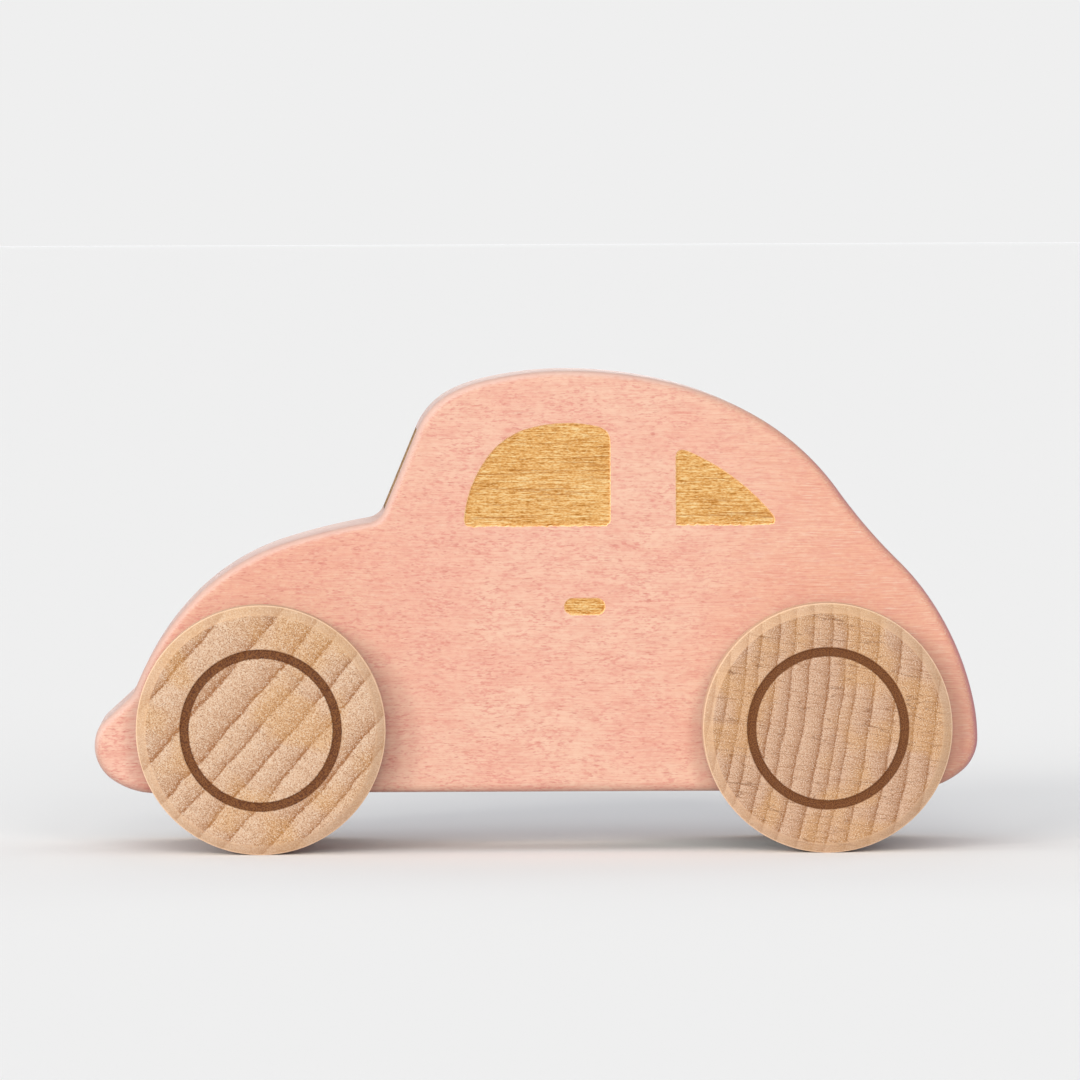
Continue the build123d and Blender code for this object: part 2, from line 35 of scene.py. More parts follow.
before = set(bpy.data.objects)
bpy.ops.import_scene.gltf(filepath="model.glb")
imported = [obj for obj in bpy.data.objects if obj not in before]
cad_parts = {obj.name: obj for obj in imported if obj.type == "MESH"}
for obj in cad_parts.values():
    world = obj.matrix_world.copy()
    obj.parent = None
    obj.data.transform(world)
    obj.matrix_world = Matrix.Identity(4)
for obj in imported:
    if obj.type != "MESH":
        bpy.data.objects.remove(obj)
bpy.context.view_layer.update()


def box_mm(node):
    """Lowest and highest corner of a CAD node in millimetres."""
    low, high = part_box(node)
    return low / MM, high / MM


# ---- sizes taken from the frame ----
BODY_LOW, BODY_HIGH = box_mm("car_body")
HALF_BODY = BODY_HIGH.y
BODY_BOTTOM = BODY_LOW.z
MOTOR_HALF_WIDTH = -box_mm("motor_case_left")[0].y

# ---- wooden block ----
# Side outline as (radius, degrees turned) for each arc and (length, 0) for each straight stretch,
# followed from the underside round the bumper and over the roof. A hollow turns the other way.
BUMPER_FOOT_X = -56.0
BUMPER = [(11.2, 35), (6.1, 76), (3.8, 26.5), (5, 0), (4, -26)]
HOOD = [(38.9, 21.5), (33.2, 29.5), (91, 8), (3, -58)]
WINDSCREEN = [(12.7, 0)]
ROOF = [(10.9, 41), (20.4, 12.5), (52.6, 14), (65.6, 13.5), (47.4, 15), (38.7, 26)]
TAIL = [(78.5, -10), (35.2, 9), (41.9, 25.5), (26.1, 11), (6.4, 50)]
OUTLINE_STEP = 0.35
EDGE_ROUNDING = 1.45
EDGE_ROUNDING_CHANGE = 0.12
EDGE_STEPS = 9
HOLDING_STRIP = 0.12

ENGRAVING_DEPTH = 0.4
ENGRAVING_DRAFT = 0.13
ENGRAVING_RAGGEDNESS = 0.16
PANE_CELL_X = 0.6
PANE_CELL_Z = 0.22
PANE_RELIEF = 0.035
SCREEN_DEPTH = 0.18
SCREEN_WIDTH = 27.0
SCREEN_CORNER = 1.5
BORE_RADIUS = 1.98
BLOCK_SHARP_DEGREES = 32
# How far cutting shapes stand out of the wood
CUTTER_REACH = 2

POCKET_X = (13.9, 49.2)
POCKET_HALF_WIDTH = MOTOR_HALF_WIDTH + 0.4
POCKET_TOP = 34.0
POCKET_CORNER = 2.0
LUG_SEAT_LENGTH = 8.0
LUG_SEAT_WIDTH = 9.0
LUG_SEAT_TOP = 11.0
LUG_SIDE = 5.5
LUG_SEAT_SHIFT = 1.0
AXLE_SLOT_HALF_WIDTH = 1.6

# ---- wheels ----
WHEEL_SEGMENTS = 288
BEVEL = 1.42
BEVEL_CHANGE = 0.10
BEVEL_EASE = (0.26, 0.12)
INNER_EDGE = 0.8
RING_INNER = 10.55
RING_OUTER = 11.85
RING_DEPTH = 0.18
RING_SLOPE = 0.30
RING_LIP = 0.08
FLAT_BESIDE_RING = 0.2
HUB_BORE = 1.25
HUB_BORE_DEPTH = 7.0
HUB_CHAMFER = 0.3
WHEEL_SHARP_DEGREES = 28

# The end grain of each wheel: the direction in which its growth rings follow each other (degrees from +X
# towards +Z), the distance of the tree's middle, how strongly the rays show, how dark the wood is, how far
# the rings wander, and where each ring ends along that direction.
GRAIN = {
    "front_left_wheel": {
        "angle": -41, "pith": 420, "ray_strength": 0.35, "tone": 0.0, "sway": 0.7,
        "ring_ends": [-19.5, -15.1, -8.75, -3.5, -0.3, 3.75, 7.2, 12.45, 15.4, 19.5],
    },
    "rear_left_wheel": {
        "angle": -9, "pith": 135, "ray_strength": 1.0, "tone": 0.8, "sway": 0.4,
        "ring_ends": [-20, -17.2, -15.3, -12.9, -11.1, -8.45, -6.2, -3.6, -0.75, 1.5, 3.2, 6.1, 9.4, 12.5,
                      15.6, 18.6],
    },
    "front_right_wheel": {
        "angle": 74, "pith": 210, "ray_strength": 0.5, "tone": 0.15, "sway": 0.8,
        "ring_ends": [-20, -16.8, -13.1, -10.4, -6.3, -4.1, -1.2, 2.9, 5.6, 9.7, 12.2, 16.4, 19],
    },
    "rear_right_wheel": {
        "angle": 158, "pith": 160, "ray_strength": 0.8, "tone": 0.3, "sway": 0.6,
        "ring_ends": [-19, -16.1, -14.2, -10.9, -8.8, -5.2, -2.6, 0.4, 2.3, 5.9, 8.1, 11.6, 14.9, 18.2],
    },
}


# ---- meshes ----
def mesh_object(name, bm, materials):
    """Object made of a bmesh that is in millimetres."""
    bm.normal_update()
    mesh = bpy.data.meshes.new(name)
    bm.to_mesh(mesh)
    bm.free()
    mesh.transform(Matrix.Scale(MM, 4))
    for material in materials:
        mesh.materials.append(material)
    piece = bpy.data.objects.new(name, mesh)
    bpy.context.scene.collection.objects.link(piece)
    return piece


def shade_smooth(mesh, sharp_degrees):
    """Smooth shading that keeps edges sharper than this."""
    mesh.polygons.foreach_set("use_smooth", [True] * len(mesh.polygons))
    mesh.set_sharp_from_angle(angle=math.radians(sharp_degrees))
    mesh.update()


# ---- outlines in side view, as lists of (x, z) ----
def stretch(x, z, heading, size, turn):
    """Points of one arc or straight stretch with their outward directions, and where the next one starts."""
    samples = []
    length = size if turn == 0 else math.radians(abs(turn)) * size
    count = max(2, round(length / OUTLINE_STEP))
    side = -1 if turn < 0 else 1
    h = math.radians(heading)
    centre = (x + side * size * math.sin(h), z - side * size * math.cos(h))
    for step in range(count + 1):
        if turn == 0:
            along = length * step / count
            point = (x + along * math.cos(h), z + along * math.sin(h))
            outward = (-math.sin(h), math.cos(h))
        else:
            g = math.radians(heading - turn * step / count)
            point = (centre[0] - side * size * math.sin(g), centre[1] + side * size * math.cos(g))
            outward = (-math.sin(g), math.cos(g))
        samples.append((point, outward))
    return samples[:-1], samples[-1][0], heading - turn


def body_outline():
    """Closed side outline of the block, as points with outward directions, and the windscreen's two ends."""
    (x, z), heading = (BUMPER_FOOT_X, BODY_BOTTOM), 180.0
    samples = []
    chain = BUMPER + HOOD + WINDSCREEN + ROOF + TAIL
    for number, (size, turn) in enumerate(chain):
        start = (x, z)
        points, (x, z), heading = stretch(x, z, heading, size, turn)
        samples += points
        if number == len(BUMPER + HOOD):
            screen = (start, (x, z))
    turn_left = 180 + heading
    last_radius = (z - BODY_BOTTOM) / (1 - math.cos(math.radians(turn_left)))
    points, (x, z), heading = stretch(x, z, heading, last_radius, turn_left)
    samples += points
    points, _, _ = stretch(x, z, 180, x - BUMPER_FOOT_X, 0)
    return samples + points, screen


def arc_through(start, middle, end, count=60):
    """Points of the circular arc through three points, without its end."""
    (ax, az), (bx, bz), (cx, cz) = start, middle, end
    d = 2 * (ax * (bz - cz) + bx * (cz - az) + cx * (az - bz))
    ux = ((ax**2 + az**2) * (bz - cz) + (bx**2 + bz**2) * (cz - az) + (cx**2 + cz**2) * (az - bz)) / d
    uz = ((ax**2 + az**2) * (cx - bx) + (bx**2 + bz**2) * (ax - cx) + (cx**2 + cz**2) * (bx - ax)) / d
    radius = math.hypot(ax - ux, az - uz)
    first = math.atan2(az - uz, ax - ux)
    last = math.atan2(cz - uz, cx - ux)
    sweep = (last - first + math.pi) % (2 * math.pi) - math.pi
    angles = [first + sweep * step / count for step in range(count)]
    return [(ux + radius * math.cos(angle), uz + radius * math.sin(angle)) for angle in angles]


def line_between(start, end, step=0.15):
    """Points of a straight line, without its end."""
    count = max(1, round(math.dist(start, end) / step))
    return [(start[0] + (end[0] - start[0]) * k / count, start[1] + (end[1] - start[1]) * k / count)
            for k in range(count)]


def bend(start, corner, end, share):
    """Point of the curve that is tangent to both sides of a corner."""
    weights = ((1 - share) ** 2, 2 * share * (1 - share), share**2)
    return tuple(sum(weight * point[i] for weight, point in zip(weights, (start, corner, end)))
                 for i in (0, 1))


def soften_corner(points, corner, reach):
    """Replaces what lies within reach of a corner by a curve that is tangent to both sides."""
    count = len(points)
    at = min(range(count), key=lambda k: math.dist(points[k], corner))
    points = points[at:] + points[:at]
    before = max(k for k in range(count) if math.dist(points[k], corner) > reach)
    after = min(k for k in range(count) if math.dist(points[k], corner) > reach)
    curve = [bend(points[before], corner, points[after], step / 8) for step in range(1, 8)]
    return points[after:before + 1] + curve


def front_window():
    """Straight sill and pillar, and two arcs that meet at the shoulder."""
    foot, shoulder, top, heel = (-10.5, 47.9), (-4.2, 60.9), (10.95, 61.9), (10.95, 47.9)
    points = line_between(heel, foot) + arc_through(foot, (-8.3, 55.9), shoulder)
    points += arc_through(shoulder, (2.2, 62.75), top) + line_between(top, heel)
    for corner, reach in ((foot, 1.0), (shoulder, 2.2), (top, 1.7), (heel, 1.0)):
        points = soften_corner(points, corner, reach)
    return points


def rear_window():
    """Straight sill and pillar, and one arc that follows the roof."""
    sill_front, sill_back, top = (20.75, 48.0), (35.9, 48.0), (20.75, 59.35)
    points = line_between(sill_back, sill_front) + line_between(sill_front, top)
    points += arc_through(top, (29.1, 54.85), sill_back)
    points = soften_corner(points, top, 1.5)
    return soften_corner(points, sill_back, 1.9)


def door_handle():
    """Short slot with round ends."""
    length, height, centre = 5.85, 2.35, (7.2, 35.95)
    reach = (length - height) / 2
    points = []
    for side in (1, -1):
        for step in range(24):
            angle = math.pi * step / 24 - side * math.pi / 2
            points.append((centre[0] + side * reach + height / 2 * math.cos(angle),
                           centre[1] + height / 2 * math.sin(angle)))
    return points


def rounded_rectangle(half_length, half_width, corner, steps=8):
    """Outline round the origin, anticlockwise."""
    points = []
    for number, (sx, sy) in enumerate(((1, 1), (-1, 1), (-1, -1), (1, -1))):
        for step in range(steps + 1):
            angle = math.pi / 2 * (number + step / steps)
            points.append((sx * (half_length - corner) + corner * math.cos(angle),
                           sy * (half_width - corner) + corner * math.sin(angle)))
    return points


def outward_of(points):
    """Outward direction at each point of a closed outline that runs either way round."""
    count = len(points)
    area = sum(points[k - 1][0] * points[k][1] - points[k][0] * points[k - 1][1] for k in range(count))
    turn = 1 if area > 0 else -1
    directions = []
    for k in range(count):
        dx = points[(k + 1) % count][0] - points[k - 1][0]
        dz = points[(k + 1) % count][1] - points[k - 1][1]
        length = math.hypot(dx, dz) or 1
        directions.append((turn * dz / length, -turn * dx / length))
    return directions


def push_out(points, distance):
    """Outline pushed outwards; distance is a number or a function of point and direction."""
    pushed = []
    for point, direction in zip(points, outward_of(points)):
        move = distance(point, direction) if callable(distance) else distance
        pushed.append((point[0] + move * direction[0], point[1] + move * direction[1]))
    return pushed


def ragged_edge(seed):
    """How far the burned edge wanders: most along the sill, where the laser leaves the grain torn."""
    def wander(point, direction):
        where = Vector((point[0] * 1.3, point[1] * 1.3, seed))
        fine = Vector((point[0] * 4.1, point[1] * 4.1, seed + 9))
        amount = 1.0 if direction[1] < -0.6 else 0.22
        return ENGRAVING_RAGGEDNESS * amount * (noise.noise(where) + 0.6 * noise.noise(fine))
    return wander


# ---- wooden block ----
# Places in the block's list of materials; faces are pink unless a cut leaves other wood behind.
PINK, WALL, PANE, RAW, CHAR = range(5)


def local_rounding(point):
    """Radius of the sanded edge, which varies a little round the block."""
    where = Vector((point[0] / 9, point[1] / 9, 3.7))
    return EDGE_ROUNDING + EDGE_ROUNDING_CHANGE * noise.noise(where)


def block_mesh(samples):
    """The block with sanded edges: rings of points lofted from one side face to the other."""
    bm = bmesh.new()
    rings = []
    for side in (-1, 1):
        for step in range(EDGE_STEPS + 1):
            angle = math.pi / 2 * step / EDGE_STEPS
            ring = []
            for (x, z), (nx, nz) in samples:
                radius = local_rounding((x, z))
                inset = radius * (1 - math.sin(angle))
                y = side * (HALF_BODY - radius * (1 - math.cos(angle)))
                ring.append(bm.verts.new((x - inset * nx, y, z - inset * nz)))
            rings.append(ring)
        holding = []
        for (x, z), (nx, nz) in samples:
            inset = local_rounding((x, z)) + HOLDING_STRIP
            holding.append(bm.verts.new((x - inset * nx, side * HALF_BODY, z - inset * nz)))
        rings.append(holding)
    left, left_holding = rings[:EDGE_STEPS + 1], rings[EDGE_STEPS + 1]
    right, right_holding = rings[EDGE_STEPS + 2:-1], rings[-1]
    ordered = [left_holding] + left + right[::-1] + [right_holding]
    count = len(samples)
    for low, high in zip(ordered, ordered[1:]):
        for k in range(count):
            following = (k + 1) % count
            bm.faces.new((low[k], high[k], high[following], low[following]))
    bm.faces.new(left_holding)
    bm.faces.new(right_holding[::-1])
    bmesh.ops.recalc_face_normals(bm, faces=bm.faces)
    return bm


def add_prism(bm, inner, outer, wall=RAW, floor=RAW):
    """Adds a closed prism between two rings of points; wall and floor say which wood it leaves behind."""
    inner_ring = [bm.verts.new(point) for point in inner]
    outer_ring = [bm.verts.new(point) for point in outer]
    count = len(inner)
    for k in range(count):
        following = (k + 1) % count
        side_face = bm.faces.new((inner_ring[k], inner_ring[following], outer_ring[following], outer_ring[k]))
        side_face.material_index = wall
    bm.faces.new(inner_ring[::-1]).material_index = floor
    bm.faces.new(outer_ring).material_index = wall


def add_engravings(bm, screen):
    """The windows and the handle in both side faces, and the windscreen in the straight slope."""
    for number, outline in enumerate((front_window(), rear_window(), door_handle())):
        for side in (-1, 1):
            edge = push_out(outline, ragged_edge(5.1 * number + side))
            wide = push_out(edge, 2 * ENGRAVING_DRAFT)
            y_floor = side * (HALF_BODY - ENGRAVING_DEPTH)
            y_out = side * (HALF_BODY + ENGRAVING_DEPTH)
            add_prism(bm, [(x, y_floor, z) for x, z in edge], [(x, y_out, z) for x, z in wide], WALL, PANE)

    (x0, z0), (x1, z1) = screen
    along = Vector((x1 - x0, 0, z1 - z0))
    middle = Vector(((x0 + x1) / 2, 0, (z0 + z1) / 2))
    facing = Vector((-along.z, 0, along.x)).normalized()
    outline = rounded_rectangle(along.length / 2, SCREEN_WIDTH / 2, SCREEN_CORNER)
    along.normalize()
    rings = []
    for depth, spread in ((-SCREEN_DEPTH, 1.0), (SCREEN_DEPTH, 1.01)):
        rings.append([middle + facing * depth + along * u * spread + Vector((0, v * spread, 0))
                      for u, v in outline])
    add_prism(bm, rings[0], rings[1], CHAR, PANE)


def arc_round(node, radius, angles):
    """Points at these angles round the middle of a CAD node, in side view."""
    low, high = box_mm(node)
    middle = (low + high) / 2
    return [(middle.x + radius * math.cos(angle), middle.z + radius * math.sin(angle)) for angle in angles]


def cut_across(bm, outline):
    """Cut with this side outline, through the whole width of the block."""
    reach = HALF_BODY + CUTTER_REACH
    add_prism(bm, [(x, -reach, z) for x, z in outline], [(x, reach, z) for x, z in outline])


def cut_from_below(bm, outline, x, y, top):
    """Cut with this plan outline, placed at x, y, from the underside up to top."""
    low = BODY_BOTTOM - CUTTER_REACH
    add_prism(bm, [(x + u, y + v, top) for u, v in outline], [(x + u, y + v, low) for u, v in outline])


def add_front_bore(bm):
    cut_across(bm, arc_round("front_axle", BORE_RADIUS, [2 * math.pi * k / 64 for k in range(64)]))


def add_motor_pocket(bm):
    mouth = rounded_rectangle((POCKET_X[1] - POCKET_X[0]) / 2, POCKET_HALF_WIDTH, POCKET_CORNER)
    cut_from_below(bm, mouth, sum(POCKET_X) / 2, 0, POCKET_TOP)


def add_axle_slot(bm):
    """The rear axle drops into this slot from below; its closed end is round."""
    arch = arc_round("rear_axle", AXLE_SLOT_HALF_WIDTH, [math.pi * k / 24 for k in range(25)])
    low = BODY_BOTTOM - CUTTER_REACH
    cut_across(bm, arch + [(arch[-1][0], low), (arch[0][0], low)])


def add_lug_seats(bm):
    """Seats beside the pocket for the motor's two mounting lugs."""
    seat = rounded_rectangle(LUG_SEAT_LENGTH, LUG_SEAT_WIDTH / 2, LUG_SEAT_WIDTH / 2 - 0.01)
    cut_from_below(bm, seat, POCKET_X[0] + LUG_SEAT_SHIFT, -LUG_SIDE, LUG_SEAT_TOP)
    cut_from_below(bm, seat, POCKET_X[1] - LUG_SEAT_SHIFT, LUG_SIDE, LUG_SEAT_TOP)


def cutting_tools(screen):
    """Everything that is cut from the block, in groups whose members do not touch each other."""
    tools = []
    for name in ("engravings", "slot", "seats"):
        bm = bmesh.new()
        if name == "engravings":
            add_engravings(bm, screen)
            add_front_bore(bm)
            add_motor_pocket(bm)
        elif name == "slot":
            add_axle_slot(bm)
        else:
            add_lug_seats(bm)
        bmesh.ops.recalc_face_normals(bm, faces=bm.faces)
        tools.append(mesh_object(name, bm, []))
    return tools


def pane_groups(bm):
    """Connected groups of engraved floor faces."""
    waiting = {face for face in bm.faces if face.material_index == PANE}
    groups = []
    while waiting:
        stack = [waiting.pop()]
        group = []
        while stack:
            face = stack.pop()
            group.append(face)
            near = {other for edge in face.edges for other in edge.link_faces} & waiting
            waiting -= near
            stack += near
        groups.append(group)
    return groups


def split_into_strips(bm, faces, direction, cell):
    """Cuts faces at even steps along direction, and returns all the faces that result."""
    done = set()
    rest = {element for face in faces for element in (face, *face.edges, *face.verts)}
    heights = [vert.co.dot(direction) for face in faces for vert in face.verts]
    low, high = min(heights), max(heights)
    for k in range(1, int((high - low) / cell)):
        level = low + k * cell
        cut = bmesh.ops.bisect_plane(bm, geom=list(rest), plane_co=direction * level, plane_no=direction,
                                     dist=1e-5)
        rest = set()
        for element in cut["geom"]:
            corners = [element] if isinstance(element, bmesh.types.BMVert) else element.verts
            if max(vert.co.dot(direction) for vert in corners) >= level - 1e-4:
                rest.add(element)
            if isinstance(element, bmesh.types.BMFace):
                done.add(element)
    return [face for face in done | rest if isinstance(face, bmesh.types.BMFace)]


def rough_panes(bm):
    """Gives every engraved floor a fine mesh and a relief of streaks along the grain."""
    for group in pane_groups(bm):
        normal = group[0].normal.copy()
        across = Vector((0, 0, 1)) if abs(normal.y) > 0.5 else Vector((0, 1, 0))
        along = across.cross(normal).normalized()
        faces = split_into_strips(bm, group, across, PANE_CELL_Z)
        faces = split_into_strips(bm, faces, along, PANE_CELL_X)
        for vert in {vert for face in faces for vert in face.verts}:
            if any(face.material_index != PANE for face in vert.link_faces):
                continue
            u, v = vert.co.dot(along), vert.co.dot(across)
            streak = noise.noise(Vector((u * 0.16, v * 2.6, normal.y * 7)))
            fine = noise.noise(Vector((u * 0.55, v * 4.2, normal.y * 3 + 5)))
            vert.co += normal * PANE_RELIEF * (0.5 + 0.55 * streak + 0.35 * fine)


def make_body(materials):
    """The wooden block with its engravings, bore and motor pocket."""
    samples, screen = body_outline()
    block = mesh_object("wooden_block", block_mesh(samples), materials)
    cutters = cutting_tools(screen)
    for tool in cutters:
        cut = block.modifiers.new(tool.name, "BOOLEAN")
        cut.operation = "DIFFERENCE"
        cut.solver = "EXACT"
        cut.object = tool
    depsgraph = bpy.context.evaluated_depsgraph_get()
    mesh = bpy.data.meshes.new_from_object(block.evaluated_get(depsgraph))
    block.modifiers.clear()
    block.data = mesh
    for tool in cutters:
        bpy.data.objects.remove(tool)
    bm = bmesh.new()
    bm.from_mesh(mesh)
    bmesh.ops.scale(bm, vec=(1 / MM, 1 / MM, 1 / MM), verts=bm.verts)
    rough_panes(bm)
    bmesh.ops.scale(bm, vec=(MM, MM, MM), verts=bm.verts)
    bm.to_mesh(mesh)
    bm.free()
    shade_smooth(mesh, BLOCK_SHARP_DEGREES)
    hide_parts("car_body")
    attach(block, "car")


# ---- wheels ----
def wheel_profile(radius, thickness):
    """Half section as (radius, depth behind the outer face); both ends lie on the axis or in the bore."""
    profile = [(0.0, 0.0), (4.0, 0.0), (8.0, 0.0), (RING_INNER - FLAT_BESIDE_RING, 0.0)]
    for share in (0.0, 0.25, 0.5, 0.75, 1.0):
        depth = RING_DEPTH * (1 - math.cos(math.pi * share)) / 2
        profile.append((RING_INNER - RING_LIP + RING_SLOPE * share, depth))
    for share in (1.0, 0.75, 0.5, 0.25, 0.0):
        depth = RING_DEPTH * (1 - math.cos(math.pi * share)) / 2
        profile.append((RING_OUTER + RING_LIP - RING_SLOPE * share, depth))
    profile += [(RING_OUTER + FLAT_BESIDE_RING, 0.0), (14.0, 0.0)]
    profile += [("bevel", share) for share in (0.0, 0.05, 0.12, 0.2, 0.35, 0.5, 0.65, 0.8, 0.88, 0.95, 1.0)]
    profile += [(radius, 3.0), (radius, thickness / 2), (radius, thickness - INNER_EDGE - 0.2)]
    for step in range(7):
        angle = math.pi / 2 * step / 6
        profile.append((radius - INNER_EDGE * (1 - math.cos(angle)),
                        thickness - INNER_EDGE * (1 - math.sin(angle))))
    profile += [(12.0, thickness), (6.0, thickness), (HUB_BORE + HUB_CHAMFER, thickness)]
    profile += [(HUB_BORE, thickness - HUB_CHAMFER), (HUB_BORE, thickness - HUB_BORE_DEPTH)]
    profile.append((0.0, thickness - HUB_BORE_DEPTH))
    return profile


def bevel_point(share, radius, bevel):
    """Point of the bevel: straight in its middle, eased at both ends."""
    near, far = BEVEL_EASE
    start = (radius - bevel - near, 0.0)
    middle_low = (radius - bevel + 0.7 * near, 0.7 * near)
    middle_high = (radius - 0.7 * far, bevel - 0.7 * far)
    end = (radius, bevel + far)
    if share < 0.2:
        return bend(start, (radius - bevel, 0.0), middle_low, share / 0.2)
    if share > 0.8:
        return bend(middle_high, (radius, bevel), end, (share - 0.8) / 0.2)
    along = (share - 0.2) / 0.6
    return tuple(middle_low[i] + (middle_high[i] - middle_low[i]) * along for i in (0, 1))


def make_wheel(node, body, material):
    """Turned wheel: its half section goes round the axle, with a bevel that is a little uneven."""
    low, high = box_mm(node)
    centre = (low + high) / 2
    radius = (high.z - low.z) / 2
    side = -1 if centre.y < 0 else 1
    outer_y = low.y if side < 0 else high.y
    profile = wheel_profile(radius, high.y - low.y)
    seed = sum(ord(letter) for letter in node) % 17
    bm = bmesh.new()
    rings = []
    for first, second in profile:
        ring = []
        for k in range(WHEEL_SEGMENTS):
            angle = 2 * math.pi * k / WHEEL_SEGMENTS
            r, depth = first, second
            if first == "bevel":
                slow = noise.noise(Vector((math.cos(angle), math.sin(angle), seed)))
                fast = noise.noise(Vector((9 * math.cos(angle), 9 * math.sin(angle), seed + 4)))
                r, depth = bevel_point(second, radius, BEVEL + BEVEL_CHANGE * (slow + 0.35 * fast))
            if r == 0.0:
                break
            ring.append(bm.verts.new((centre.x + r * math.cos(angle), outer_y - side * depth,
                                      centre.z + r * math.sin(angle))))
        if not ring:
            ring = [bm.verts.new((centre.x, outer_y - side * depth, centre.z))]
        rings.append(ring)
    for near, far in zip(rings, rings[1:]):
        for k in range(WHEEL_SEGMENTS):
            following = (k + 1) % WHEEL_SEGMENTS
            if len(near) == 1:
                bm.faces.new((near[0], far[k], far[following]))
            elif len(far) == 1:
                bm.faces.new((near[k], far[0], near[following]))
            else:
                bm.faces.new((near[k], far[k], far[following], near[following]))
    bmesh.ops.recalc_face_normals(bm, faces=bm.faces)
    piece = mesh_object(node.replace("wheel", "turned_wheel"), bm, [material])
    shade_smooth(piece.data, WHEEL_SHARP_DEGREES)
    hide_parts(node)
    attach(piece, body)


# ---- light and colours ----
def scene_colour(red, green, blue):
    """Scene colour of a screen colour given as 0 to 255."""
    def straight(value):
        value /= 255
        return value / 12.92 if value <= 0.04045 else ((value + 0.055) / 1.055) ** 2.4
    return (straight(red), straight(green), straight(blue), 1.0)


BACKGROUND = scene_colour(239, 239, 239)
# How bright the surroundings are next to the background colour of floor and backdrop
LIGHT_LEVEL = 0.56
# Each light: how far it is turned from straight ahead towards the nose, how high it stands, how wide it looks
# (all in degrees) and what it adds to the floor. A row makes one long low strip in front of the car, one
# broad light stands at the upper left, and a weaker row lights the far side.
LIGHTS = [(turned, 12.5, 12, 0.155) for turned in (-12, 2, 16, 30)]
LIGHTS += [(44, 40, 60, 0.18)]
LIGHTS += [(turned, 24, 20, 0.06) for turned in (148, 180, 212)]
LIGHT_TINT = (1.0, 0.96, 0.83)
# Share of the light that a surface reflects unchanged, whatever its colour
VEIL = 0.006
MATT_VEIL = 0.003


def floor_light():
    """Light that falls on the open floor."""
    added = sum(on_floor for _, _, _, on_floor in LIGHTS)
    return [LIGHT_LEVEL * (BACKGROUND[i] + LIGHT_TINT[i] * added) for i in range(3)]


def side_light():
    """Light that falls on the car's left side: half surroundings, half floor, and all lights in front."""
    added = sum(on_floor * max(0.0, math.cos(math.radians(turned))) / math.tan(math.radians(elevation))
                for turned, elevation, _, on_floor in LIGHTS)
    around = (LIGHT_LEVEL + 1) / 2
    return [around * BACKGROUND[i] + LIGHT_LEVEL * LIGHT_TINT[i] * added for i in range(3)]


def colour(red, green, blue, veil=VEIL):
    """Paint that shows this screen colour on the car's left side in this light."""
    wanted = scene_colour(red, green, blue)
    light = side_light()
    return (*(max(0.003, wanted[i] / light[i] - veil) for i in range(3)), 1.0)


def matt_colour(red, green, blue):
    """The same for bare wood, which has hardly any gloss."""
    return colour(red, green, blue, MATT_VEIL)


